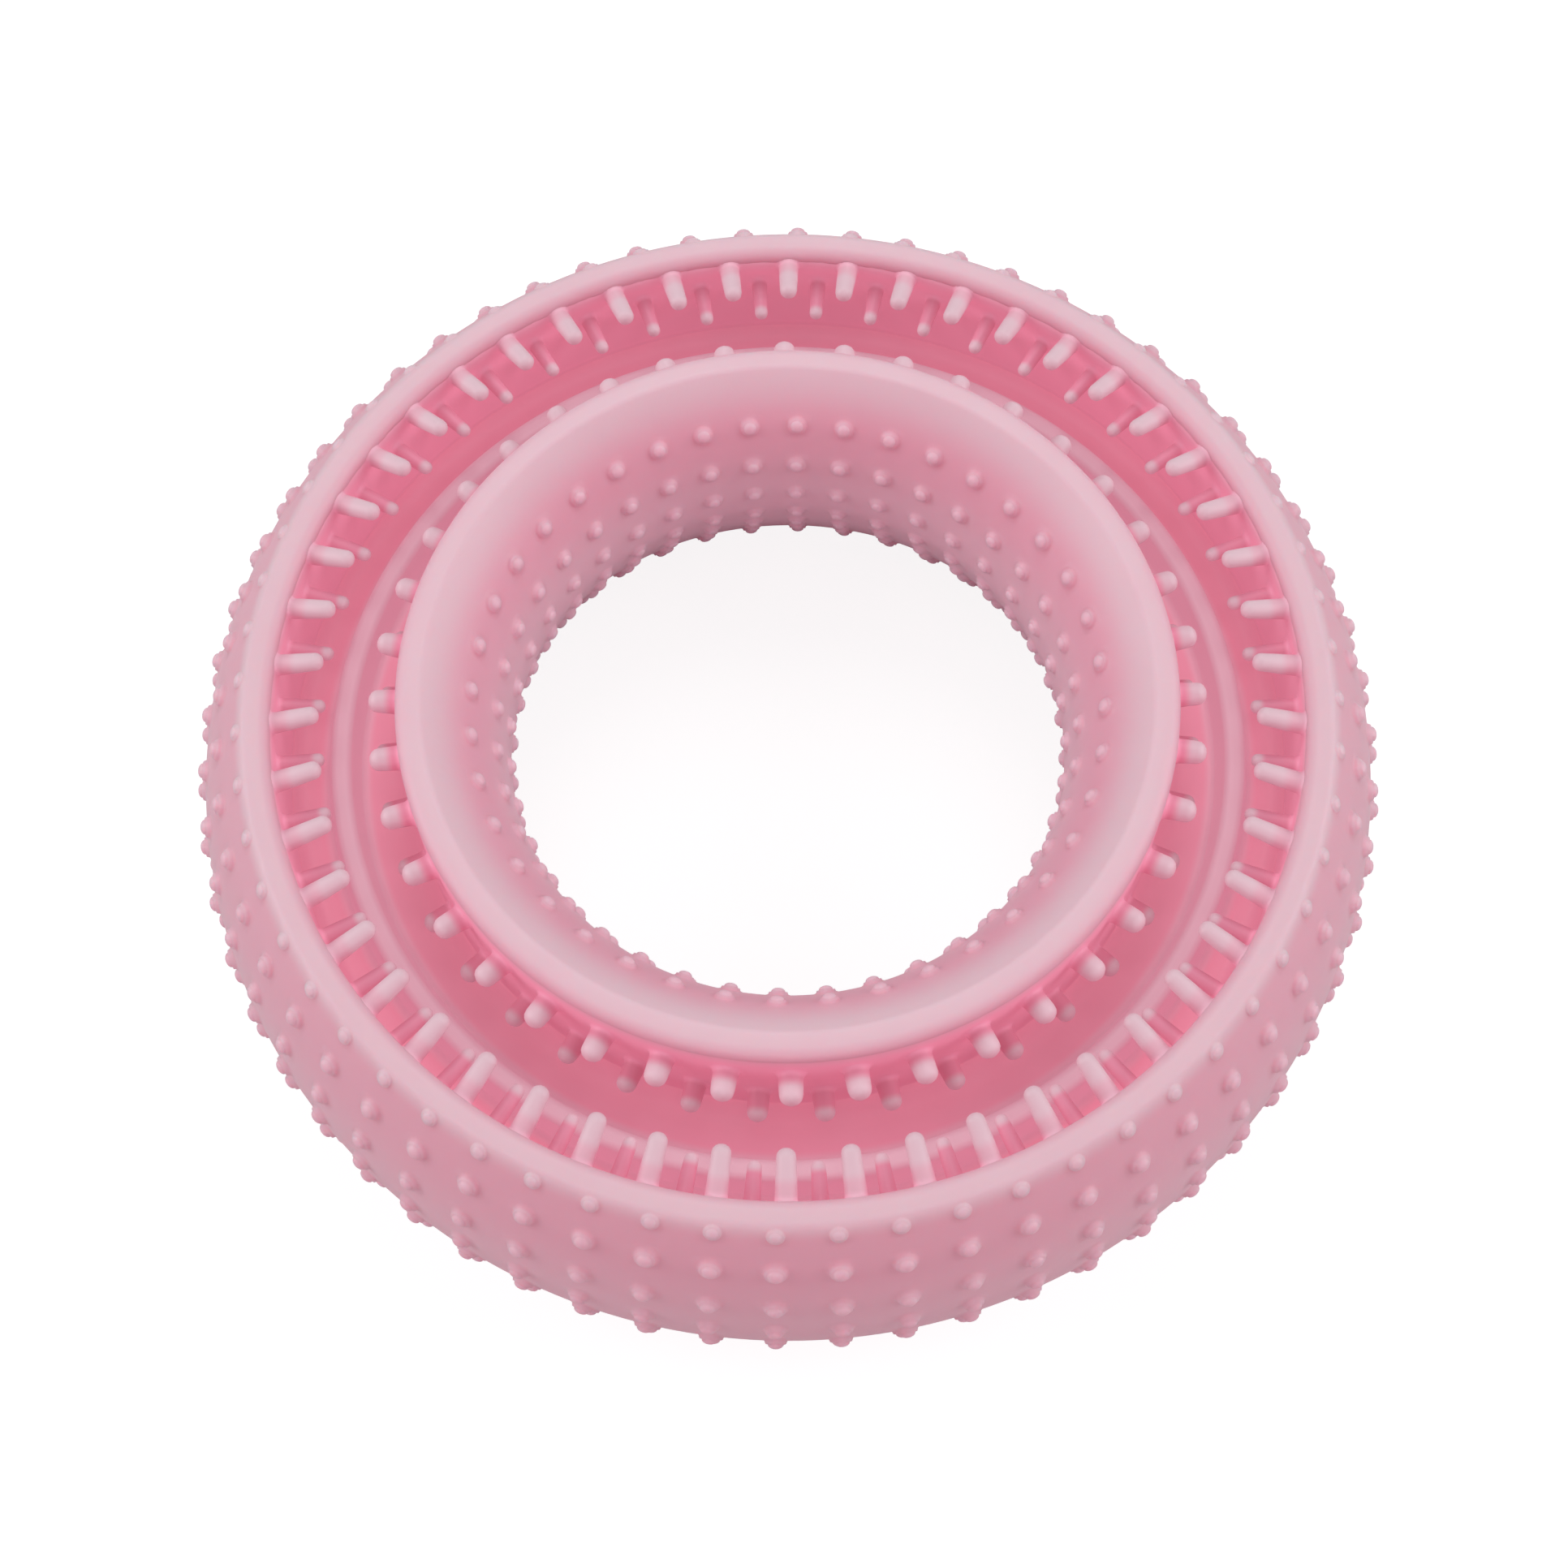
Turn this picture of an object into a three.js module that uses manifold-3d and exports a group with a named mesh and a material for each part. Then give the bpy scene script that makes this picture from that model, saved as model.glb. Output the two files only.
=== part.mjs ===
// Ring-shaped chew toy in soft rubber: two studded walls, a web between them,
// and a pegged trough above and below the web. Millimetres, +Z up, standing on the origin.

import * as THREE from 'three';
import { mergeGeometries, mergeVertices } from 'three/addons/utils/BufferGeometryUtils.js';
import Module from 'manifold-3d';

// Driving dimensions across the ring, from the bore outwards
const boreDiameter = 58.2;
const innerWallThickness = 10.2;
const troughWidth = 12.7;
const outerWallThickness = 9.1;

// Driving dimensions up the ring
const innerWallHeight = 37.0;
const outerWallHeight = 34.0;
const webThickness = 4.0;
const ridgeHeight = 3.2;
const ridgeFootWidth = 2.8;
const ridgeCrestWidth = 1.5;

// Lips, linings and the gap between neighbouring zones
const lipWidth = 2.6;
const footLipWidth = 1.2;
const lipDepth = 0.7;
const liningThickness = 1.0;
const seamGap = 0.3;

// Curves of the two nubbed faces: the bore is narrowest a little above its middle
const outerBulge = 2.1;
const waistHeight = 2.5;
const boreBulge = 2.5;
const footBulge = 1.4;

// Conical nubs on the outer face and in the bore
const nubDiameter = 2.3;
const nubHeight = 1.2;
const nubSides = 3;
const rootDepth = 0.5;
const tread = { columns: 60, rows: 6, topMargin: 4.7, footMargin: 4.7, turn: -1.6 };
const bore = { columns: 40, rows: 7, topMargin: 4.7, footMargin: 6.1, turn: -2.25 };

// Pegs in the troughs: depth is from the lip's top, reach is from the trough's wall
const outerPegs = {
  count: 50,
  turn: -0.6,
  rows: [
    { depth: 2.2, reach: 4.85, diameter: 2.2, tilt: 18 },
    { depth: 5.1, reach: 4.8, diameter: 1.7, tilt: 0 }
  ]
};
const innerPegs = {
  count: 40,
  turn: 0,
  rows: [
    { depth: 4.8, reach: 3.3, diameter: 2.4, tilt: 6 },
    { depth: 10.6, reach: 3.4, diameter: 2.0, tilt: 0 }
  ]
};
const pegSides = 3;
const pegTaper = 0.8;

// Radii and heights that follow from them
const boreRadius = boreDiameter / 2;
const troughInnerRadius = boreRadius + innerWallThickness;
const troughOuterRadius = troughInnerRadius + troughWidth;
const equatorRadius = troughOuterRadius + outerWallThickness;
const ridgeRadius = (troughInnerRadius + troughOuterRadius) / 2;
const innerSeamRadius = troughInnerRadius - liningThickness - seamGap;
const outerSeamRadius = troughOuterRadius + liningThickness + seamGap;
const innerTop = innerWallHeight / 2;
const outerTop = outerWallHeight / 2;
const webTop = webThickness / 2;
const middleHeight = Math.max(innerTop, outerTop);

const wasm = await Module();
wasm.setup();

// A closed three.js geometry as a solid, and back
function solid(geometry) {
  const bare = geometry.index ? geometry.toNonIndexed() : geometry;
  bare.deleteAttribute('normal');
  bare.deleteAttribute('uv');
  const merged = mergeVertices(bare);
  const mesh = new wasm.Mesh({
    numProp: 3,
    vertProperties: new Float32Array(merged.attributes.position.array),
    triVerts: new Uint32Array(merged.index.array)
  });
  return new wasm.Manifold(mesh);
}

function geometryOf(manifold) {
  const mesh = manifold.getMesh();
  const geometry = new THREE.BufferGeometry();
  geometry.setAttribute('position', new THREE.BufferAttribute(mesh.vertProperties, 3));
  geometry.setIndex(new THREE.BufferAttribute(mesh.triVerts, 1));
  geometry.computeVertexNormals();
  return geometry;
}

// An outline of [radius, height] pairs, turned about +Z. Its flats start at the front, -Y.
function turned(outline, columns, turn) {
  const points = outline.map(([radius, height]) => new THREE.Vector2(radius, height));
  points.push(points[0].clone());
  const pitch = 2 * Math.PI / columns;
  const start = THREE.MathUtils.degToRad(turn) - pitch / 2;
  const geometry = new THREE.LatheGeometry(points, columns, start, 2 * Math.PI);
  geometry.rotateX(Math.PI / 2);
  return geometry;
}

// A cone or peg from a foot to a tip, both [radius, height], repeated around the ring
function spikesAround({ foot, tip, footRadius, tipRadius, sides, count, turn }) {
  const pitch = 2 * Math.PI / count;
  const spikes = [];
  for (let i = 0; i < count; i++) {
    const angle = THREE.MathUtils.degToRad(turn) + i * pitch;
    const at = ([radius, height]) => new THREE.Vector3(
      radius * Math.sin(angle), -radius * Math.cos(angle), height);
    const axis = at(tip).sub(at(foot));
    const length = axis.length();
    const spike = tipRadius > 0
      ? new THREE.CylinderGeometry(tipRadius, footRadius, length, sides)
      : new THREE.ConeGeometry(footRadius, length, sides);
    const turnOver = new THREE.Quaternion().setFromUnitVectors(
      new THREE.Vector3(0, 1, 0), axis.clone().normalize());
    spike.applyQuaternion(turnOver);
    const middle = at(foot).add(at(tip)).multiplyScalar(0.5);
    spike.translate(middle.x, middle.y, middle.z);
    spikes.push(spike);
  }
  return mergeGeometries(spikes);
}

// Heights of the nub rows, and the edges of the bands of wall that hold them
function rowHeights(top, { rows, topMargin, footMargin }) {
  const lowest = footMargin - top;
  const pitch = (top - topMargin - lowest) / (rows - 1);
  return Array.from({ length: rows }, (_, i) => lowest + i * pitch);
}

function bandEdges(top, pattern) {
  const heights = rowHeights(top, pattern);
  const half = (heights[1] - heights[0]) / 2;
  return [...heights.map((height) => height - half), heights.at(-1) + half];
}

// Radius of a curved face at a share of the way from its waist or equator to its edge
function faceRadius(share, middle, edge, bulge) {
  return middle + (edge - middle) * Math.abs(share) ** bulge;
}

// Nubs that stand square on the middle of each flat of a faceted wall
function nubs(face, pattern) {
  const flat = Math.cos(Math.PI / pattern.columns);
  const grown = (nubHeight + rootDepth) / nubHeight;
  const rings = [];
  for (let i = 1; i < face.length; i++) {
    const [lowRadius, lowHeight] = face[i - 1];
    const [highRadius, highHeight] = face[i];
    const outward = new THREE.Vector2(highHeight - lowHeight, lowRadius - highRadius).normalize();
    const radius = flat * (lowRadius + highRadius) / 2;
    const height = (lowHeight + highHeight) / 2;
    rings.push(spikesAround({
      foot: [radius - rootDepth * outward.x, height - rootDepth * outward.y],
      tip: [radius + nubHeight * outward.x, height + nubHeight * outward.y],
      footRadius: grown * nubDiameter / 2,
      tipRadius: 0,
      sides: nubSides,
      count: pattern.columns,
      turn: pattern.turn
    }));
  }
  return mergeGeometries(rings);
}

// Outer wall: bulging tread face outside, a recess for the linings between its two lips
function makeOuterWall() {
  const edge = troughOuterRadius + lipWidth;
  const radiusAt = (height) => faceRadius(height / outerTop, equatorRadius, edge, outerBulge);
  const face = bandEdges(outerTop, tread).map((height) => [radiusAt(height), height]);
  const recessTop = outerTop - lipDepth;
  const outline = [
    [outerSeamRadius, -recessTop],
    [troughOuterRadius, -recessTop],
    [troughOuterRadius, -outerTop],
    [edge, -outerTop],
    ...face,
    [edge, outerTop],
    [troughOuterRadius, outerTop],
    [troughOuterRadius, recessTop],
    [outerSeamRadius, recessTop]
  ];
  return solid(turned(outline, tread.columns, tread.turn)).add(solid(nubs(face, tread)));
}

// Inner wall: waisted bore face inside, a recess for the linings between its two lips
function makeInnerWall() {
  const edge = troughInnerRadius - lipWidth;
  const footEdge = troughInnerRadius - footLipWidth;
  const radiusAt = (height) => {
    const rise = height - waistHeight;
    return rise > 0
      ? faceRadius(rise / (innerTop - waistHeight), boreRadius, edge, boreBulge)
      : faceRadius(rise / (innerTop + waistHeight), boreRadius, footEdge, footBulge);
  };
  const face = bandEdges(innerTop, bore).map((height) => [radiusAt(height), height]).reverse();
  const recessTop = innerTop - lipDepth;
  const outline = [
    [innerSeamRadius, recessTop],
    [troughInnerRadius, recessTop],
    [troughInnerRadius, innerTop],
    [edge, innerTop],
    ...face,
    [footEdge, -innerTop],
    [troughInnerRadius, -innerTop],
    [troughInnerRadius, -recessTop],
    [innerSeamRadius, -recessTop]
  ];
  return solid(turned(outline, bore.columns, bore.turn)).add(solid(nubs(face, bore)));
}

// Web between the walls, with a ridge round the middle of both troughs
function makeCentreWeb() {
  const inside = innerSeamRadius + seamGap;
  const outside = outerSeamRadius - seamGap;
  const crest = webTop + ridgeHeight;
  const upperHalf = [
    [outside, webTop],
    [ridgeRadius + ridgeFootWidth / 2, webTop],
    [ridgeRadius + ridgeCrestWidth / 2, crest],
    [ridgeRadius - ridgeCrestWidth / 2, crest],
    [ridgeRadius - ridgeFootWidth / 2, webTop],
    [inside, webTop]
  ];
  const lowerHalf = upperHalf.map(([radius, height]) => [radius, -height]).reverse();
  return solid(turned([...upperHalf, ...lowerHalf], bore.columns, bore.turn));
}

// A lining of one trough wall with its two staggered rows of pegs.
// side is 1 where the trough lies outside the wall and -1 where it lies inside it;
// face is 1 for the upper trough and -1 for the lower one.
function makePegBand(wallRadius, top, side, face, pegs) {
  const back = wallRadius - side * liningThickness;
  const left = Math.min(wallRadius, back);
  const right = Math.max(wallRadius, back);
  const deepEnd = face * (webTop + seamGap);
  const lipEnd = face * (top - lipDepth - seamGap);
  const low = Math.min(deepEnd, lipEnd);
  const high = Math.max(deepEnd, lipEnd);
  const outline = [[left, low], [right, low], [right, high], [left, high]];
  const rings = pegs.rows.map((row, i) => {
    const rise = Math.tan(THREE.MathUtils.degToRad(row.tilt));
    const height = top - row.depth;
    const rooted = Math.min(rootDepth, liningThickness / 2);
    return spikesAround({
      foot: [wallRadius - side * rooted, face * (height - rooted * rise)],
      tip: [wallRadius + side * row.reach, face * (height + row.reach * rise)],
      footRadius: row.diameter / 2,
      tipRadius: pegTaper * row.diameter / 2,
      sides: pegSides,
      count: pegs.count,
      turn: pegs.turn + i * 180 / pegs.count
    });
  });
  const lining = solid(turned(outline, pegs.count, pegs.turn));
  return lining.add(solid(mergeGeometries(rings)));
}

const paleRubber = { color: 0xe4b8c2, roughness: 0.62, metalness: 0 };
const deepRubber = { color: 0xd56b89, roughness: 0.62, metalness: 0 };

const toy = new THREE.Group();

function addPiece(name, manifold, finish) {
  const mesh = new THREE.Mesh(geometryOf(manifold), new THREE.MeshStandardMaterial(finish));
  mesh.name = name;
  mesh.position.z = middleHeight;
  toy.add(mesh);
}

addPiece('outer_wall', makeOuterWall(), paleRubber);
addPiece('inner_wall', makeInnerWall(), paleRubber);
addPiece('centre_web', makeCentreWeb(), paleRubber);

for (const [place, face] of [['upper', 1], ['lower', -1]]) {
  const outerBand = makePegBand(troughOuterRadius, outerTop, -1, face, outerPegs);
  const innerBand = makePegBand(troughInnerRadius, innerTop, 1, face, innerPegs);
  addPiece(`${place}_outer_pegs`, outerBand, deepRubber);
  addPiece(`${place}_inner_pegs`, innerBand, deepRubber);
}

export default toy;
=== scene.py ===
import math

import bmesh
import bpy
import numpy as np
from mathutils import Matrix, Vector


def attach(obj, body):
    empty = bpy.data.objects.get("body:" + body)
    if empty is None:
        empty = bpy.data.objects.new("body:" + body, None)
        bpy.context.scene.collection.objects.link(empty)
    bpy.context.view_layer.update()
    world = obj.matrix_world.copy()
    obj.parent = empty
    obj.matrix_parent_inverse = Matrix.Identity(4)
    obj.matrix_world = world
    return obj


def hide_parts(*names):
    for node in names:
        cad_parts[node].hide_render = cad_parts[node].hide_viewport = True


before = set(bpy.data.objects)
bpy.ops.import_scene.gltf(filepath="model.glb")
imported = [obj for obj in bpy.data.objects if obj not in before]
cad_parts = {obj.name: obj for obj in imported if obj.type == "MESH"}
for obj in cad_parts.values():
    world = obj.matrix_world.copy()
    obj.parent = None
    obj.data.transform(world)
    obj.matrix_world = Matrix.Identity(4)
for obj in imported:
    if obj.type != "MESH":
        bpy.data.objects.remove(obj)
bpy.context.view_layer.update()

print("frame loaded:", len(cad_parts), "nodes")

# Sizes that the zones share, in millimetres; heights are from the ring's middle plane
ring = {
    "troughInner": 39.3,
    "troughOuter": 52.0,
    "innerTop": 18.5,
    "outerTop": 17.0,
    "webTop": 2.0,
    "middleHeight": 18.5,
    "lipRound": 1.3,  # radius of the bead along each lip
    "footRound": 0.58,  # the same on the inner wall's narrow lower lip
    "lipEdge": 1.0,  # rounding of a lip's edge away from the trough
    "liningBack": 1.2,  # thickness of a lining
    "liningRoom": 0.1,  # left between a lining and the wall behind it
}

# How finely the skins are meshed; lengths in millimetres
fineness = {
    "arcSteps": 8,
    "arcGap": 0.01,  # keeps neighbouring roundings from ending in one point
    "searchStep": 0.01,
    "shortestBand": 0.05,
    "longestBand": 2.5,
    "perSide": 4,  # mesh columns across one nub or peg cell
    "cellRings": (1.0, 0.66, 0.33, 0.0),  # from a cell's square edge in to its spike's round foot
    "footSteps": (0.5, 1.0),
    "bodyStep": 0.9,
    "domeSteps": 4,
    "leanRate": 1.6,  # how soon a tilted peg's rings lean as far as the peg does
    "merge": 0.002,
}
metre = 0.001


# A closed outline of radius and height, counterclockwise, walked by its length
class Outline:
    def __init__(self, corners):
        path = []
        arcSteps = fineness["arcSteps"]
        for i, (radius, height, fillet) in enumerate(corners):
            here = np.array([radius, height], float)
            if fillet == 0:
                path.append(here)
                continue
            back = np.array(corners[i - 1][:2]) - here
            ahead = np.array(corners[(i + 1) % len(corners)][:2]) - here
            back /= np.linalg.norm(back)
            ahead /= np.linalg.norm(ahead)
            half = math.acos(float(np.clip(back @ ahead, -1, 1))) / 2
            middle = (back + ahead) / np.linalg.norm(back + ahead)
            centre = here + middle * fillet / math.sin(half)
            start = here + back * fillet / math.tan(half) - centre
            end = here + ahead * fillet / math.tan(half) - centre
            first = math.atan2(start[1], start[0])
            sweep = math.atan2(end[1], end[0]) - first
            sweep = (sweep + math.pi) % (2 * math.pi) - math.pi
            for k in range(arcSteps + 1):
                angle = first + sweep * k / arcSteps
                path.append(centre + fillet * np.array([math.cos(angle), math.sin(angle)]))
        self.path = np.vstack([path, path[:1]])
        steps = np.linalg.norm(np.diff(self.path, axis=0), axis=1)
        self.at = np.concatenate([[0], np.cumsum(steps)])
        self.length = self.at[-1]

    def point(self, along):
        along = np.mod(along, self.length)
        return np.stack([np.interp(along, self.at, self.path[:, i]) for i in (0, 1)], -1)

    def outward(self, along, reach=0.3):
        step = self.point(along + reach) - self.point(along - reach)
        step /= np.linalg.norm(step)
        return np.array([step[1], -step[0]])

    # The length at which the outline passes a height, within a range of radii
    def find(self, height, low, high):
        along = np.arange(0, self.length, fineness["searchStep"])
        points = self.point(along)
        off = np.abs(points[:, 1] - height)
        off[(points[:, 0] < low) | (points[:, 0] > high)] = np.inf
        return along[int(np.argmin(off))]

    # The outline's points between two lengths, ends included, with more where they lie far apart
    def stops(self, start, end):
        shortest, longest = fineness["shortestBand"], fineness["longestBand"]
        laps = np.concatenate([self.at[:-1], self.at[:-1] + self.length])
        inside = laps[(laps > start + shortest) & (laps < end - shortest)]
        filled = [start]
        for mark in [*inside, end]:
            last = filled[-1]
            pieces = max(1, math.ceil((mark - last) / longest))
            filled.extend(last + (mark - last) * k / pieces for k in range(1, pieces + 1))
        return np.array(filled)


def onRing(radius, height, angle):
    # Angle 0 is the front, -Y, and grows towards +X
    return np.stack([radius * np.sin(angle), -radius * np.cos(angle), height], -1)


# Collects the vertices and faces of one closed skin
class Skin:
    def __init__(self, name, outline, count, turn):
        self.name = name
        self.outline = outline
        self.count = count
        self.turn = math.radians(turn)
        self.verts = []
        self.faces = []
        self.size = 0

    def surface(self, angle, along):
        point = self.outline.point(along)
        return onRing(point[..., 0], point[..., 1], angle)

    def keep(self, verts, faces):
        self.verts.append(verts.reshape(-1, 3))
        self.faces.extend((faces + self.size).tolist())
        self.size += len(self.verts[-1])

    # Plain bands of quads between the given lengths of the outline
    def bands(self, marks):
        columns = self.count * fineness["perSide"]
        start = self.turn - math.pi / self.count
        angle = start + np.arange(columns) * 2 * math.pi / columns
        grid = self.surface(angle[None, :], np.asarray(marks)[:, None] + 0 * angle[None, :])
        row = np.arange(len(marks) - 1)[:, None] * columns
        here = np.arange(columns)[None, :]
        after = (here + 1) % columns
        corners = [row + here, row + after, row + columns + after, row + columns + here]
        self.keep(grid, np.stack(corners, -1).reshape(-1, 4))

    # A spike's radius and rise, ring by ring: its fillet, its tapered body and its dome
    def profile(self, spike):
        foot, tip = spike["diameter"] / 2, spike["tipDiameter"] / 2
        fillet, dome, height = spike["fillet"], spike["dome"], spike["height"]
        steps = []
        for share in fineness["footSteps"]:
            bend = share * math.pi / 2
            steps.append((foot + fillet * (1 - math.sin(bend)), fillet * (1 - math.cos(bend))))
        bodySteps = max(1, round((height - fillet - dome) / fineness["bodyStep"]))
        for step in range(1, bodySteps + 1):
            share = step / bodySteps
            steps.append((foot + (tip - foot) * share, fillet + (height - dome - fillet) * share))
        for step in range(1, fineness["domeSteps"]):
            bend = step / fineness["domeSteps"] * math.pi / 2
            steps.append((tip * math.cos(bend), height - dome + dome * math.sin(bend)))
        return steps

    # One row of cells, each with a spike in its middle: a nub square to the skin, or a tilted peg
    def spikes(self, low, middle, high, spike, shift=0.0):
        perSide = fineness["perSide"]
        sides = 4 * perSide
        k = np.arange(sides)
        edge, run = k // perSide, (k % perSide) / perSide * 2 - 1
        one = np.ones(sides)
        across = np.choose(edge, [run, one, -run, -one])
        up = np.choose(edge, [-one, run, one, -run])
        squareUp = np.where(up < 0, up * (middle - low), up * (high - middle))
        firstCorner = math.radians(-135)  # the cell's lower left one
        spin = firstCorner + k * 2 * math.pi / sides
        halfPitch = math.pi / self.count
        centre = self.turn + (np.arange(self.count) + shift) * 2 * halfPitch
        base = self.outline.point(middle)
        footRadius = spike["diameter"] / 2 + spike["fillet"]
        rings = []
        for square in fineness["cellRings"]:
            spread = footRadius * np.cos(spin) / base[0]
            rise = footRadius * np.sin(spin)
            angle = centre[:, None] + (1 - square) * spread + square * across * halfPitch
            along = middle + (1 - square) * rise + square * squareUp
            rings.append(self.surface(angle, along[None, :] + 0 * angle))
        outRound = onRing(1.0, 0.0 * centre, centre)
        sideways = onRing(1.0, 0.0 * centre, centre + math.pi / 2)
        outward = self.outline.outward(middle)
        height, tilt = spike["height"], math.radians(spike.get("tilt", 0))

        # A direction in the outline's plane, leant by an angle, on every spike
        def leant(direction, lean):
            flat = direction[0] * math.cos(lean) - direction[1] * math.sin(lean)
            rise = direction[0] * math.sin(lean) + direction[1] * math.cos(lean)
            return outRound * flat + np.array([0.0, 0.0, 1.0]) * rise

        axis = leant(outward, tilt)
        root = onRing(base[0] + 0 * centre, base[1] + 0 * centre, centre)
        for radius, rise in self.profile(spike):
            lean = tilt * min(1.0, fineness["leanRate"] * rise / height)
            upward = leant(np.array([-outward[1], outward[0]]), lean)
            rings.append(root[:, None] + axis[:, None] * rise
                         + radius * (sideways[:, None] * np.cos(spin)[None, :, None]
                                     + upward[:, None] * np.sin(spin)[None, :, None]))
        cells = np.stack(rings, 1).reshape(self.count, -1, 3)
        cells = np.concatenate([cells, (root + axis * height)[:, None]], 1)
        perCell = cells.shape[1]
        cellStart = (np.arange(self.count) * perCell)[:, None, None]
        after = (k + 1) % sides
        for j in range(len(rings) - 1):
            near, far = j * sides, (j + 1) * sides
            quads = np.stack([near + k, near + after, far + after, far + k], -1)
            self.faces.extend((quads[None] + cellStart + self.size).reshape(-1, 4).tolist())
        last = (len(rings) - 1) * sides
        cap = np.stack([last + k, last + after, 0 * k + perCell - 1], -1)
        self.keep(cells, (cap[None] + cellStart).reshape(-1, 3))

    def build(self):
        verts = np.concatenate(self.verts)
        verts[:, 2] += ring["middleHeight"]
        mesh = bpy.data.meshes.new(self.name)
        mesh.from_pydata((verts * metre).tolist(), [], self.faces)
        work = bmesh.new()
        work.from_mesh(mesh)
        bmesh.ops.remove_doubles(work, verts=work.verts, dist=fineness["merge"] * metre)
        work.to_mesh(mesh)
        openEdges = sum(not edge.is_manifold for edge in work.edges)
        work.free()
        mesh.polygons.foreach_set("use_smooth", [True] * len(mesh.polygons))
        piece = bpy.data.objects.new(self.name, mesh)
        bpy.context.scene.collection.objects.link(piece)
        print(f"{self.name}: {len(mesh.polygons)} faces, {openEdges} open edges")
        return piece


# The edges between rows of cells: halfway between neighbouring rows
def cellEdges(middles, margin):
    between = [(a + b) / 2 for a, b in zip(middles, middles[1:])]
    return [middles[0] - margin, *between, middles[-1] + margin]


outerWall = {
    "equatorRadius": 61.1,
    "edgeRadius": 54.6,
    "bulge": 2.1,
    "faceReach": 16.2,  # the bulged face runs this far up and down
    "faceSteps": 108,
    "faceBeyond": 54,  # everything outside this radius belongs to the face
    "nubsAround": 60,
    "turn": -1.6,
    "rows": [-12.3, -7.38, -2.46, 2.46, 7.38, 12.3],
    "rimRow": 16.05,
    "rimMargin": 1.2,
    "nub": {"diameter": 2.0, "tipDiameter": 1.55, "height": 0.92, "fillet": 0.42, "dome": 0.45},
    "rimNub": {"diameter": 1.65, "tipDiameter": 1.25, "height": 0.45, "fillet": 0.18,
               "dome": 0.25},
}


def makeOuterWall(size):
    top, trough, edge = ring["outerTop"], ring["troughOuter"], size["edgeRadius"]
    reach = size["faceReach"]
    face = []
    for h in np.linspace(-reach, reach, size["faceSteps"] + 1):
        inset = (size["equatorRadius"] - edge) * abs(h / top) ** size["bulge"]
        face.append((size["equatorRadius"] - inset, h, 0))
    back = trough + ring["liningBack"] + ring["liningRoom"]
    beadFoot, bead = top - 2 * ring["lipRound"], ring["lipRound"] - fineness["arcGap"]
    outline = Outline([
        *face,
        (edge, top, ring["lipEdge"]),
        (trough, top, bead),
        (trough, beadFoot, bead),
        (back, beadFoot, 0),
        (back, -beadFoot, 0),
        (trough, -beadFoot, bead),
        (trough, -top, bead),
        (edge, -top, ring["lipEdge"]),
    ])
    skin = Skin("outerWallSkin", outline, size["nubsAround"], size["turn"])
    rows = [-size["rimRow"], *size["rows"], size["rimRow"]]
    middles = [outline.find(h, size["faceBeyond"], math.inf) for h in rows]
    if middles[0] > middles[1]:
        middles[0] -= outline.length
    edges = cellEdges(middles, size["rimMargin"])
    for i, middle in enumerate(middles):
        nub = size["rimNub"] if i in (0, len(middles) - 1) else size["nub"]
        skin.spikes(edges[i], middle, edges[i + 1], nub)
    skin.bands(outline.stops(edges[-1], edges[0] + outline.length))
    return skin.build()


innerWall = {
    "waistRadius": 29.1,
    "waistHeight": 2.5,
    "edgeRadius": 36.7,
    "bulge": 2.5,
    "footEdgeRadius": 38.1,
    "footBulge": 1.4,
    "footEdge": 0.4,  # rounding of the lower lip's edge
    "faceTop": 17.6,  # the bore's face runs from here down to faceFoot
    "faceFoot": -18.0,
    "faceSteps": 120,
    "faceWithin": 36,  # the part of the bore that has nubs lies inside this radius
    "nubsAround": 40,
    "turn": -2.25,
    "rows": [13.8, 9.43, 5.07, 0.7, -3.67, -8.03, -12.4],
    "rowMargin": 2.4,
    "nub": {"diameter": 1.8, "tipDiameter": 1.4, "height": 0.75, "fillet": 0.33, "dome": 0.4},
}


def makeInnerWall(size):
    top, trough, waist = ring["innerTop"], ring["troughInner"], size["waistHeight"]
    face = []
    for h in np.linspace(size["faceTop"], size["faceFoot"], size["faceSteps"] + 1):
        if h > waist:
            edge, share = size["edgeRadius"], ((h - waist) / (top - waist)) ** size["bulge"]
        else:
            edge = size["footEdgeRadius"]
            share = ((waist - h) / (top + waist)) ** size["footBulge"]
        face.append((size["waistRadius"] + (edge - size["waistRadius"]) * share, h, 0))
    back = trough - ring["liningBack"] - ring["liningRoom"]
    beadFoot, bead = top - 2 * ring["lipRound"], ring["lipRound"] - fineness["arcGap"]
    footBeadFoot, footBead = top - 2 * ring["footRound"], ring["footRound"] - fineness["arcGap"]
    outline = Outline([
        *face,
        (size["footEdgeRadius"], -top, size["footEdge"]),
        (trough, -top, footBead),
        (trough, -footBeadFoot, footBead),
        (back, -footBeadFoot, 0),
        (back, beadFoot, 0),
        (trough, beadFoot, bead),
        (trough, top, bead),
        (size["edgeRadius"], top, ring["lipEdge"]),
    ])
    skin = Skin("innerWallSkin", outline, size["nubsAround"], size["turn"])
    middles = [outline.find(h, 0, size["faceWithin"]) for h in size["rows"]]
    edges = cellEdges(middles, size["rowMargin"])
    for i, middle in enumerate(middles):
        skin.spikes(edges[i], middle, edges[i + 1], size["nub"])
    skin.bands(outline.stops(edges[-1], edges[0] + outline.length))
    return skin.build()


web = {
    "ridgeRadius": 46.5,
    "ridgeHeight": 4.0,
    "ridgeFoot": 3.4,
    "ridgeCrest": 2.0,
    "footFillet": 0.7,
    "crestFillet": 0.8,
    "innerFillet": 2.3,
    "outerFillet": 1.6,
    "wallOverlap": 0.02,
    "tuck": 0.4,  # how far the web runs on behind a fillet, up and under the wall
    "columns": 60,
}


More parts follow.
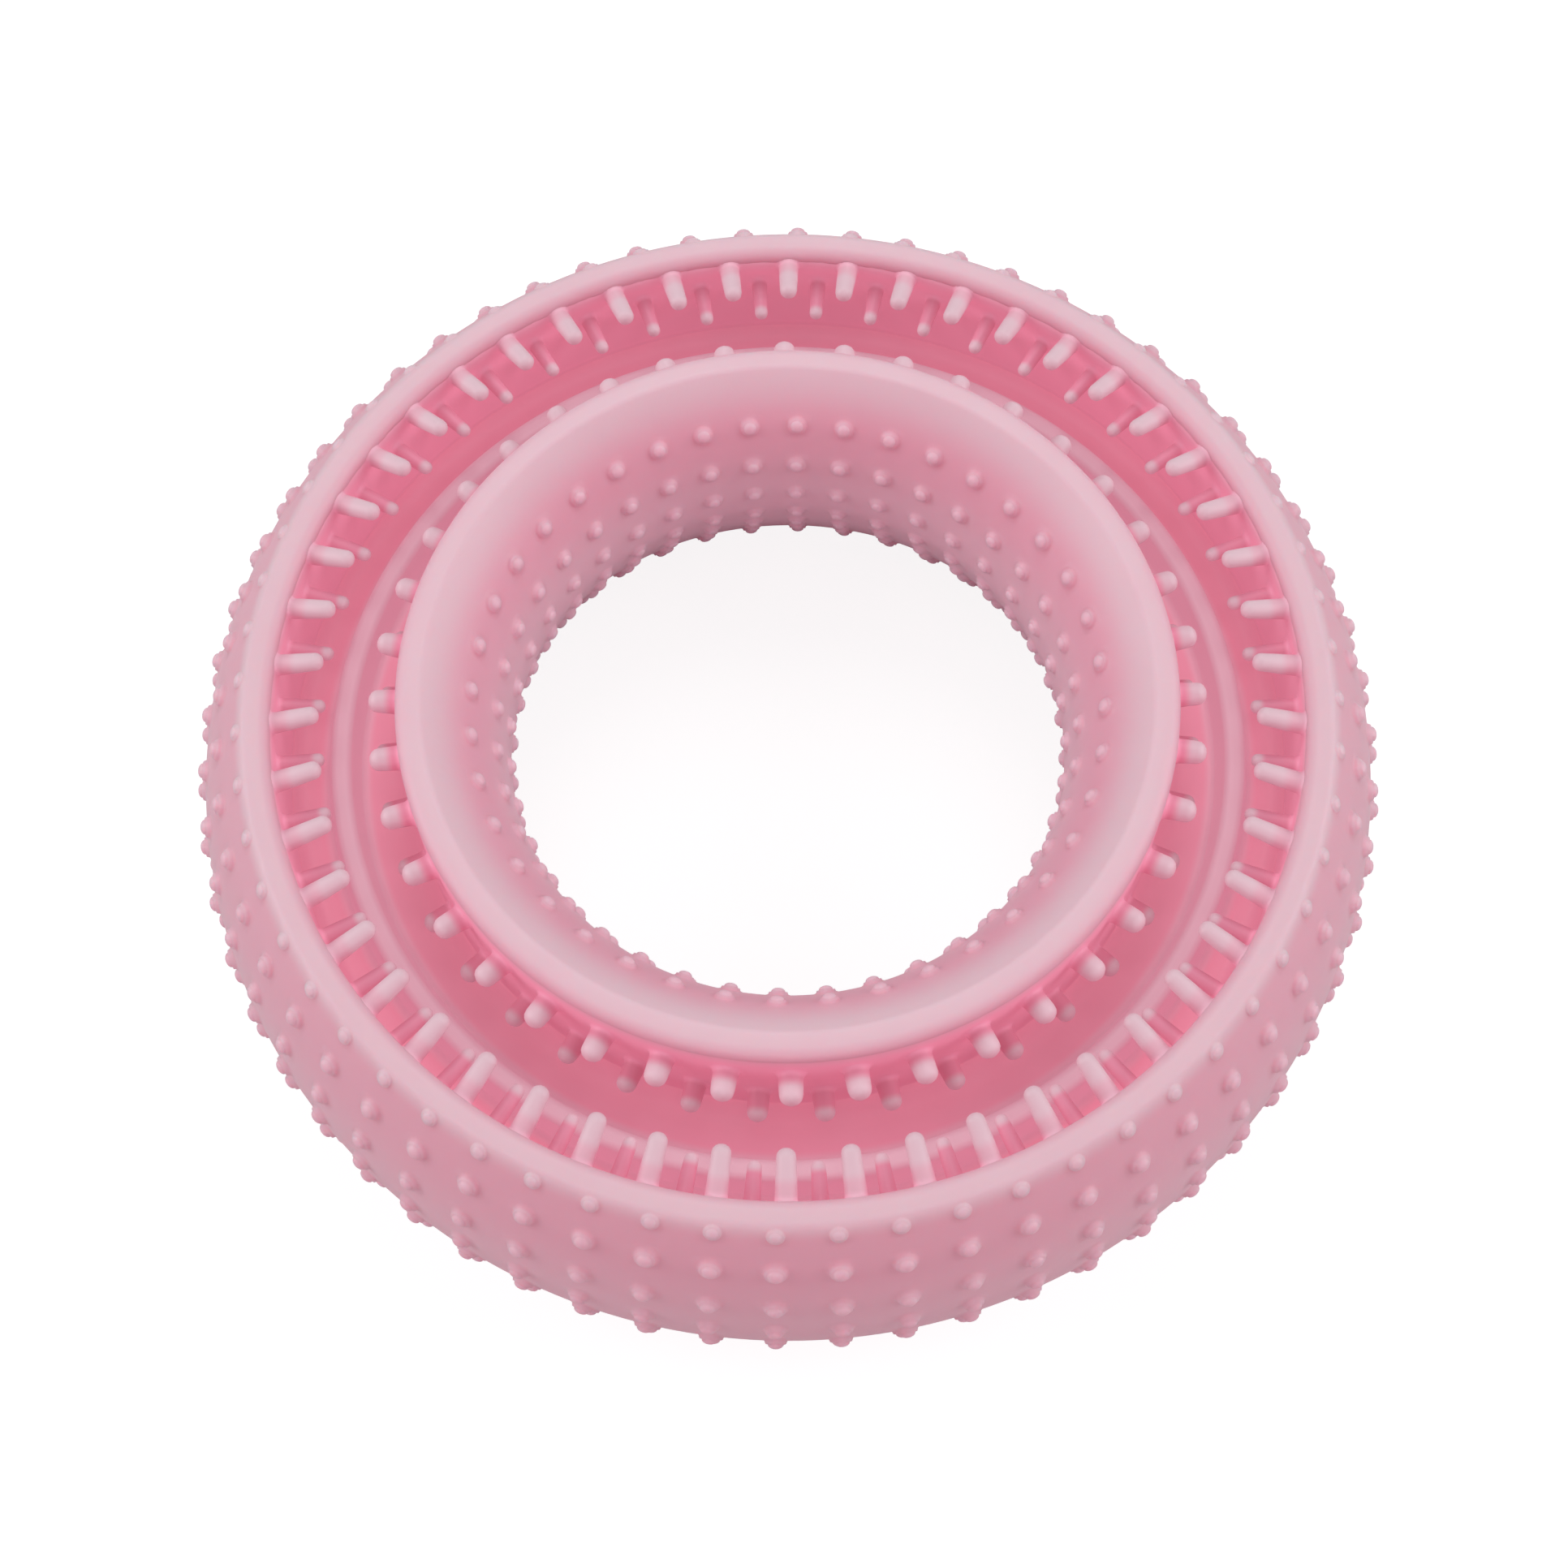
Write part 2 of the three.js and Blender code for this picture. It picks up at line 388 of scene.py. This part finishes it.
def makeWeb(size):
    top, mid, tuck = ring["webTop"], size["ridgeRadius"], size["tuck"]
    inside = ring["troughInner"] - size["wallOverlap"]
    outside = ring["troughOuter"] + size["wallOverlap"]
    foot, crest = size["ridgeFoot"] / 2, size["ridgeCrest"] / 2
    high = top + size["ridgeHeight"]
    innerWallFoot = top + size["innerFillet"] + tuck
    outerWallFoot = top + size["outerFillet"] + tuck
    upper = [
        (outside + tuck, outerWallFoot, 0),
        (outside, outerWallFoot, 0),
        (outside, top, size["outerFillet"]),
        (mid + foot, top, size["footFillet"]),
        (mid + crest, high, size["crestFillet"]),
        (mid - crest, high, size["crestFillet"]),
        (mid - foot, top, size["footFillet"]),
        (inside, top, size["innerFillet"]),
        (inside, innerWallFoot, 0),
        (inside - tuck, innerWallFoot, 0),
    ]
    lower = [(radius, -height, fillet) for radius, height, fillet in reversed(upper)]
    outline = Outline([*upper, *lower])
    skin = Skin("centreWebSkin", outline, size["columns"], 0)
    skin.bands(outline.stops(0, outline.length))
    return skin.build()


# Side is 1 on the inner wall and -1 on the outer; depth is from the lip's top; a peg's tip takes
# painted light, pale, between the two reaches given for its row, and rowsPart is the height
# between its rows
outerPegs = {
    "wall": ring["troughOuter"],
    "top": ring["outerTop"],
    "side": -1,
    "around": 50,
    "turn": -0.6,
    "upperRow": {"depth": 2.2, "diameter": 2.2, "tipDiameter": 1.85, "height": 5.15,
                 "fillet": 0.32, "dome": 0.8, "tilt": 18},
    "lowerRow": {"depth": 5.1, "diameter": 1.7, "tipDiameter": 1.4, "height": 4.8,
                 "fillet": 0.4, "dome": 0.65, "tilt": 0},
    "upperPaleFrom": (1.2, 2.3),
    "lowerPaleFrom": (3.3, 4.1),
    "rowsPart": 13.2,
}
innerPegs = {
    "wall": ring["troughInner"],
    "top": ring["innerTop"],
    "side": 1,
    "around": 40,
    "turn": 0,
    "upperRow": {"depth": 4.7, "diameter": 2.5, "tipDiameter": 2.3, "height": 3.2,
                 "fillet": 0.4, "dome": 0.95, "tilt": 8},
    "lowerRow": {"depth": 10.3, "diameter": 2.2, "tipDiameter": 2.0, "height": 3.2,
                 "fillet": 0.4, "dome": 0.85, "tilt": 4},
    "upperPaleFrom": (0.7, 1.7),
    "lowerPaleFrom": (1.7, 2.6),
    "rowsPart": 10.8,
}
lining = {
    "aboveWeb": 0.3,
    "belowTop": 0.7,
    "headRound": 0.6,
    "backRound": 0.2,
    "rowMargin": 1.9,
    "faceDepth": 0.05,  # rows are looked for this close to the wall's radius
}


# A lining with two staggered rows of pegs; face is 1 in the upper trough and -1 in the lower
def makePegBand(name, pegs, face):
    wall, top, side = pegs["wall"], pegs["top"], pegs["side"]
    back = wall - side * ring["liningBack"]
    foot, head = ring["webTop"] + lining["aboveWeb"], top - lining["belowTop"]
    corners = [(wall, foot, 0), (wall, head, lining["headRound"]),
               (back, head, lining["backRound"]), (back, foot, 0)]
    corners = [(radius, face * height, fillet) for radius, height, fillet in corners]
    if side * face < 0:
        corners.reverse()
    outline = Outline(corners)
    skin = Skin(name, outline, pegs["around"], pegs["turn"])
    rows = [(pegs["upperRow"], 0.0), (pegs["lowerRow"], 0.5)]
    if side * face > 0:
        rows.reverse()
    low, high = wall - lining["faceDepth"], wall + lining["faceDepth"]
    middles = [outline.find(face * (top - row["depth"]), low, high) for row, _ in rows]
    edges = cellEdges(middles, lining["rowMargin"])
    for i, (row, shift) in enumerate(rows):
        leaning = dict(row, tilt=side * face * row["tilt"])
        skin.spikes(edges[i], middles[i], edges[i + 1], leaning, shift)
    skin.bands(outline.stops(edges[-1], edges[0] + outline.length))
    return skin.build()


pieces = {"outer_wall": makeOuterWall(outerWall), "inner_wall": makeInnerWall(innerWall),
          "centre_web": makeWeb(web)}
for place, face in (("upper", 1), ("lower", -1)):
    for zone, pegs in (("outer", outerPegs), ("inner", innerPegs)):
        name = f"{place}{zone.capitalize()}PegsSkin"
        pieces[f"{place}_{zone}_pegs"] = makePegBand(name, pegs, face)

for node, piece in pieces.items():
    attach(piece, "root")
    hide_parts(node)
print("pieces made")


# A shader socket that does arithmetic by adding Math nodes
class Socket:
    def __init__(self, graph, socket):
        self.graph, self.socket = graph, socket

    def math(self, operation, first, second=0.0):
        return self.graph.node("ShaderNodeMath", {"operation": operation}, {0: first, 1: second})

    def __add__(self, other):
        return self.math("ADD", self, other)

    def __radd__(self, other):
        return self.math("ADD", other, self)

    def __sub__(self, other):
        return self.math("SUBTRACT", self, other)

    def __rsub__(self, other):
        return self.math("SUBTRACT", other, self)

    def __mul__(self, other):
        return self.math("MULTIPLY", self, other)

    def __rmul__(self, other):
        return self.math("MULTIPLY", other, self)

    def __pow__(self, other):
        return self.math("POWER", self, other)

    def __abs__(self):
        return self.math("ABSOLUTE", self)

    # Another output of the same node
    def output(self, key):
        return Socket(self.graph, self.socket.node.outputs[key])


# The node tree of one material or world
class Graph:
    def __init__(self, owner):
        owner.use_nodes = True
        self.owner, self.tree = owner, owner.node_tree
        self.tree.nodes.clear()

    # Adds a node: its settings first, then values or links for its input sockets
    def node(self, kind, settings=None, sockets=None, output=0):
        made = self.tree.nodes.new(kind)
        for key, value in (settings or {}).items():
            setattr(made, key, value)
        for key, value in (sockets or {}).items():
            if isinstance(value, Socket):
                self.tree.links.new(value.socket, made.inputs[key])
            else:
                made.inputs[key].default_value = value
        return Socket(self, made.outputs[output]) if made.outputs else None

    # 0 below low and 1 above high, or the other way round where low is the larger
    def ramp(self, value, low, high, kind="SMOOTHSTEP"):
        return self.node("ShaderNodeMapRange", {"interpolation_type": kind},
                         {"Value": value, "From Min": low, "From Max": high})

    def mix(self, factor, first, second):
        sockets = {0: factor, 6: first, 7: second}
        return self.node("ShaderNodeMix", {"data_type": "RGBA"}, sockets, 2)


# sRGB values out of 255 as a linear colour
def rgb(red, green, blue):
    def linear(value):
        share = value / 255
        return share / 12.92 if share <= 0.04045 else ((share + 0.055) / 1.055) ** 2.4
    return (linear(red), linear(green), linear(blue), 1.0)


black = (0.0, 0.0, 0.0, 1.0)
white = (1.0, 1.0, 1.0, 1.0)
rubber = {
    "pale": rgb(221, 190, 200),
    "mid": rgb(222, 170, 185),
    # painted shade: the deeper pinks below stand in for shade and bounced light down the trough,
    # the bore and the outside below the lips
    "shadePink": rgb(226, 134, 161),
    "floor": rgb(234, 140, 166),
    "lining": rgb(238, 154, 181),
    "pegBodyShade": rgb(226, 138, 164),
    "paintedGlow": rgb(255, 200, 222),  # painted glow, an emission that lifts the painted shade; strength by zone
    "paintedGlowStrength": {"outerWall": 0.0, "innerWall": 0.08, "web": 0.16,
                        "outerPegs": 0.13, "innerPegs": 0.08},
    "roughness": 0.45,
    "cloudRoughness": 0.1,  # what the clouds add to it at most
    "cloudScale": 160.0,
    "cloudDetail": 3.0,
    "cloudEdge": (0.35, 0.75),
    "cloudDepth": 0.1,
    "grainScale": 1400.0,
    "grainDetail": 2.0,
    "grainStrength": 0.25,
    "grainDepth": 0.00005,
    "specular": 0.45,
    "sheen": 0.06,
    "sheenRoughness": 0.5,
    "subsurface": 0.6,
    "subsurfaceRadius": (1.0, 0.35, 0.45),
    "subsurfaceScale": 0.003,
}

# Where the painted shade and painted light change, in millimetres. A pair is where a change
# starts and where it is done: heights from the middle plane, or reaches out of a face or a wall
paintedShading = {
    "lipFade": {"above": 0.1, "below": 3.2, "curve": 0.75},  # painted shade, from a lip's top down the trough
    "troughSide": (1.9, 0.6),
    # painted shade on the outside face below the outer lip, and down the bore, where less light
    # falls
    "outside": {"depth": 0.43, "edge": (16.9, 15.4), "least": 0.5, "rise": (3.0, 13.0)},
    "bore": {"depth": 0.56, "edge": (18.2, 14.0), "least": 0.45, "rise": (6.0, 14.0)},
    # painted highlights: the tips of the nubs, and the rim nubs under the outer lip, are kept
    # pale
    "nubLitTip": (0.25, 0.65),
    "nubHighlight": 0.6,
    "nubRows": (2.0, 8.0),
    "rimNubLitTip": (0.05, 0.3),
    "rimRow": (14.6, 15.4),
    # the web's ridge is kept pale: painted light where it stands up out of the floor's painted
    # shade
    "ridge": (2.9, 1.5),
    "pegFoot": (0.15, 0.7),
    "rowBlend": 0.3,
    # painted glow: an emission that lifts the painted shade, more of it low in the bore
    "borePaintedGlow": {"least": 0.3, "rise": (13.0, 3.0)},
    "pegPaintedGlow": 0.6,  # a peg has less painted glow than the lining round it
}


# From least up to 1 as the share goes from 0 to 1
def atLeast(least, share):
    return least + (1.0 - least) * share


# Painted shade: how deep the shade gets from a lip's top down into the trough
def lipFade(graph, height, top):
    fade = paintedShading["lipFade"]
    ramp = graph.ramp(height, top + fade["above"], top - fade["below"], "LINEAR")
    return ramp ** fade["curve"]


# Each of these returns how deep the painted shade is, the pink of full painted shade, and the
# painted glow
def outerWallShading(graph, radius, level, size):
    top, trough, height = ring["outerTop"], ring["troughOuter"], abs(level)
    far, near = paintedShading["troughSide"]
    inTrough = graph.ramp(radius, trough + far, trough + near)
    shading = paintedShading["outside"]
    outside = graph.ramp(height, *shading["edge"])
    outside = outside * atLeast(shading["least"], graph.ramp(height, *shading["rise"])) * shading["depth"]
    inset = (height * (1 / top)) ** size["bulge"] * (size["equatorRadius"] - size["edgeRadius"])
    out = radius - (size["equatorRadius"] - inset)
    # Painted highlights keep the nub tips and the rim nubs pale
    nubHighlights = graph.ramp(out, *paintedShading["nubLitTip"]) * graph.ramp(height, *paintedShading["nubRows"])
    rimHighlights = graph.ramp(out, *paintedShading["rimNubLitTip"]) * graph.ramp(height, *paintedShading["rimRow"])
    outside = outside * (1.0 - paintedShading["nubHighlight"] * nubHighlights) * (1.0 - rimHighlights)
    shade = inTrough * lipFade(graph, height, top) + (1.0 - inTrough) * outside
    return shade, rubber["shadePink"], black


def innerWallShading(graph, radius, level, size):
    top, trough, height = ring["innerTop"], ring["troughInner"], abs(level)
    far, near = paintedShading["troughSide"]
    inTrough = graph.ramp(radius, trough - far, trough - near)
    shading = paintedShading["bore"]
    bore = graph.ramp(height, *shading["edge"])
    bore = bore * atLeast(shading["least"], graph.ramp(height, *shading["rise"])) * shading["depth"]
    waist, waistRadius = size["waistHeight"], size["waistRadius"]
    flare = graph.ramp(level, waist, top, "LINEAR") ** size["bulge"]
    footFlare = graph.ramp(level, waist, -top, "LINEAR") ** size["footBulge"]
    face = waistRadius + flare * (size["edgeRadius"] - waistRadius)
    face = face + footFlare * (size["footEdgeRadius"] - waistRadius)
    # Painted highlight: the nub tips stay pale
    bore = bore * (1.0 - paintedShading["nubHighlight"] * graph.ramp(face - radius, *paintedShading["nubLitTip"]))
    shade = inTrough * lipFade(graph, height, top) + (1.0 - inTrough) * bore
    # Painted glow, stronger low in the bore, where the painted shade is deepest
    paintedGlow = paintedShading["borePaintedGlow"]
    share = atLeast(paintedGlow["least"], graph.ramp(height, *paintedGlow["rise"]))
    return shade, rubber["shadePink"], graph.mix(share, black, rubber["paintedGlow"])


def webShading(graph, radius, level, size):
    # The web's floor is in painted shade, all but its ridge, which is painted as lit
    onRidge = graph.ramp(abs(radius - size["ridgeRadius"]), *paintedShading["ridge"])
    return 1.0 - onRidge, rubber["floor"], rubber["paintedGlow"]


def pegShading(graph, radius, level, size):
    height, blend = abs(level), paintedShading["rowBlend"]
    reach = (radius - size["wall"]) * size["side"]
    isUpper = graph.ramp(height, size["rowsPart"] - blend, size["rowsPart"] + blend)
    # Painted light: peg tips that stand out of the shade are left pale
    litTips = graph.ramp(reach, *size["upperPaleFrom"]) * isUpper
    litTips = litTips + graph.ramp(reach, *size["lowerPaleFrom"]) * (1.0 - isUpper)
    fade = lipFade(graph, height, size["top"])
    # Painted shade of the lining and of the peg bodies, mixed at a peg's foot
    onPeg = graph.ramp(reach, *paintedShading["pegFoot"])
    shadePink = graph.mix(onPeg, rubber["lining"], rubber["pegBodyShade"])
    share = fade * (1.0 - (1.0 - paintedShading["pegPaintedGlow"]) * onPeg)
    return fade * (1.0 - litTips), shadePink, graph.mix(share, black, rubber["paintedGlow"])


zones = {
    "outerWall": (outerWallShading, outerWall),
    "innerWall": (innerWallShading, innerWall),
    "web": (webShading, web),
    "outerPegs": (pegShading, outerPegs),
    "innerPegs": (pegShading, innerPegs),
}


# Soft rubber of one pale pink, with painted shade down the troughs and painted light on peg tips
def makeRubber(name, zone):
    graph = Graph(bpy.data.materials.new(name))
    place = graph.node("ShaderNodeTexCoord", output=3)
    x = graph.node("ShaderNodeSeparateXYZ", None, {0: place})
    y, z = x.output(1), x.output(2)
    radius = (x * x + y * y) ** 0.5 * (1 / metre)
    level = z * (1 / metre) - ring["middleHeight"]
    shading, size = zones[zone]
    shade, shadePink, paintedGlow = shading(graph, radius, level, size)
    cloud = graph.node("ShaderNodeTexNoise", None, {
        "Vector": place, "Scale": rubber["cloudScale"], "Detail": rubber["cloudDetail"]})
    clouded = graph.ramp(cloud, *rubber["cloudEdge"]) * rubber["cloudDepth"]
    colour = graph.mix(clouded, graph.mix(shade, rubber["pale"], shadePink), rubber["mid"])
    grain = graph.node("ShaderNodeTexNoise", None, {
        "Vector": place, "Scale": rubber["grainScale"], "Detail": rubber["grainDetail"]})
    bump = graph.node("ShaderNodeBump", None, {
        "Height": grain, "Strength": rubber["grainStrength"], "Distance": rubber["grainDepth"]})
    shader = graph.node("ShaderNodeBsdfPrincipled", None, {
        "Base Color": colour,
        "Roughness": rubber["roughness"] + cloud * rubber["cloudRoughness"],
        "Normal": bump,
        "Specular IOR Level": rubber["specular"],
        # The emission is a painted glow that lifts the painted shade; the rubber is no lamp
        "Emission Color": paintedGlow,
        "Emission Strength": rubber["paintedGlowStrength"][zone],
        "Subsurface Weight": rubber["subsurface"] if zone.endswith("Wall") else 0.0,
        "Subsurface Radius": rubber["subsurfaceRadius"],
        "Subsurface Scale": rubber["subsurfaceScale"],
        "Sheen Weight": rubber["sheen"],
        "Sheen Roughness": rubber["sheenRoughness"],
    })
    graph.node("ShaderNodeOutputMaterial", None, {"Surface": shader})
    return graph.owner


outerPegRubber = makeRubber("outerPegRubber", "outerPegs")
innerPegRubber = makeRubber("innerPegRubber", "innerPegs")
finishes = {
    "outer_wall": makeRubber("outerWallRubber", "outerWall"),
    "inner_wall": makeRubber("innerWallRubber", "innerWall"),
    "centre_web": makeRubber("webRubber", "web"),
    "upper_outer_pegs": outerPegRubber,
    "lower_outer_pegs": outerPegRubber,
    "upper_inner_pegs": innerPegRubber,
    "lower_inner_pegs": innerPegRubber,
}
for node, piece in pieces.items():
    piece.data.materials.append(finishes[node])
print("materials made")

# Fitted to the photograph; angles in degrees, distances in millimetres
camera = {
    "elevation": 64.605,
    "distance": 255.74,
    "aimHeight": 35.1,
    "focalPixels": 3137.6,
    "imagePixels": 1932,
    "principal": (970.23, 846.38),
    "roll": -0.516,
    "sensorWidth": 36,
    "clipStart": 10,
}


def makeCamera(view):
    data = bpy.data.cameras.new("photoCamera")
    data.sensor_width = view["sensorWidth"]
    data.lens = view["focalPixels"] / view["imagePixels"] * data.sensor_width
    data.shift_x = 0.5 - view["principal"][0] / view["imagePixels"]
    data.shift_y = view["principal"][1] / view["imagePixels"] - 0.5
    data.clip_start = view["clipStart"] * metre
    thing = bpy.data.objects.new("photoCamera", data)
    tilt = math.radians(view["elevation"])
    back = np.array([0, -math.cos(tilt), math.sin(tilt)]) * view["distance"]
    place = (back + np.array([0, 0, view["aimHeight"]])) * metre
    pitch = Matrix.Rotation(math.pi / 2 - tilt, 4, "X")
    roll = Matrix.Rotation(math.radians(view["roll"]), 4, "Z")
    thing.matrix_world = Matrix.Translation(place.tolist()) @ pitch @ roll
    bpy.context.scene.collection.objects.link(thing)
    bpy.context.scene.camera = thing


makeCamera(camera)
print("camera made")

# Places and sizes in metres; the front fill is pink, for the warm shade of what faces the camera
studio = {
    "world": 0.36,
    "key": {"place": (0.0, 0.36, 0.69), "size": 0.45, "watts": 1.45,
            "colour": (1.0, 1.0, 1.0)},
    "leftFill": {"place": (-0.72, 0.05, 0.42), "size": 0.6, "watts": 2.7,
                 "colour": (1.0, 1.0, 1.0)},
    "rightFill": {"place": (0.72, 0.05, 0.42), "size": 0.6, "watts": 2.7,
                  "colour": (1.0, 1.0, 1.0)},
    "frontFill": {"place": (0.0, -0.75, 0.3), "size": 0.6, "watts": 1.8,
                  "colour": (1.0, 0.5, 0.62)},
    "aim": (0.0, 0.0, 0.02),
    "floorReach": 3.0,
    "floorSeen": (0.26, 0.27, 0.27, 1.0),
    "floorGlow": 0.85,
    "floorBounce": (0.5, 0.5, 0.5, 1.0),
}


# A round soft lamp aimed at the middle of the toy
def makeLamp(name, lamp, aim):
    light = bpy.data.lights.new(name, "AREA")
    light.shape = "DISK"
    light.size = lamp["size"]
    light.energy = lamp["watts"]
    light.color = lamp["colour"]
    thing = bpy.data.objects.new(name, light)
    turned = (Vector(aim) - Vector(lamp["place"])).to_track_quat("-Z", "Y").to_matrix().to_4x4()
    thing.matrix_world = Matrix.Translation(lamp["place"]) @ turned
    bpy.context.scene.collection.objects.link(thing)


# The world is white where it is seen and dimmer where it lights the toy
def makeWorld(light):
    world = bpy.data.worlds.new("studio")
    graph = Graph(world)
    ray = graph.node("ShaderNodeLightPath", output="Is Camera Ray")
    seen = ray.math("MAXIMUM", ray, ray.output("Is Glossy Ray"))
    plain = graph.node("ShaderNodeBackground", None, {"Color": white, "Strength": light["world"]})
    bright = graph.node("ShaderNodeBackground", None, {"Color": white, "Strength": 1.0})
    mixed = graph.node("ShaderNodeMixShader", None, {0: seen, 1: plain, 2: bright})
    graph.node("ShaderNodeOutputWorld", None, {"Surface": mixed})
    bpy.context.scene.world = world


# The floor glows nearly white where it is seen, and still takes the toy's shadow
def makeFloor(light):
    mesh = bpy.data.meshes.new("floor")
    reach = light["floorReach"]
    corners = [(-reach, -reach, 0), (reach, -reach, 0), (reach, reach, 0), (-reach, reach, 0)]
    mesh.from_pydata(corners, [], [(0, 1, 2, 3)])
    floor = bpy.data.objects.new("floor", mesh)
    bpy.context.scene.collection.objects.link(floor)
    graph = Graph(bpy.data.materials.new("floorPaint"))
    seen = graph.node("ShaderNodeLightPath", output="Is Camera Ray")
    shown = graph.node("ShaderNodeBsdfDiffuse", None, {"Color": light["floorSeen"]})
    glow = graph.node("ShaderNodeEmission", None,
                      {"Color": white, "Strength": light["floorGlow"]})
    shown = graph.node("ShaderNodeAddShader", None, {0: shown, 1: glow})
    bounce = graph.node("ShaderNodeBsdfDiffuse", None, {"Color": light["floorBounce"]})
    surface = graph.node("ShaderNodeMixShader", None, {0: seen, 1: bounce, 2: shown})
    graph.node("ShaderNodeOutputMaterial", None, {"Surface": surface})
    mesh.materials.append(graph.owner)


bpy.context.scene.view_settings.view_transform = "Standard"
for name in ("key", "leftFill", "rightFill", "frontFill"):
    makeLamp(name, studio[name], studio["aim"])
makeWorld(studio)
makeFloor(studio)
print("studio made")
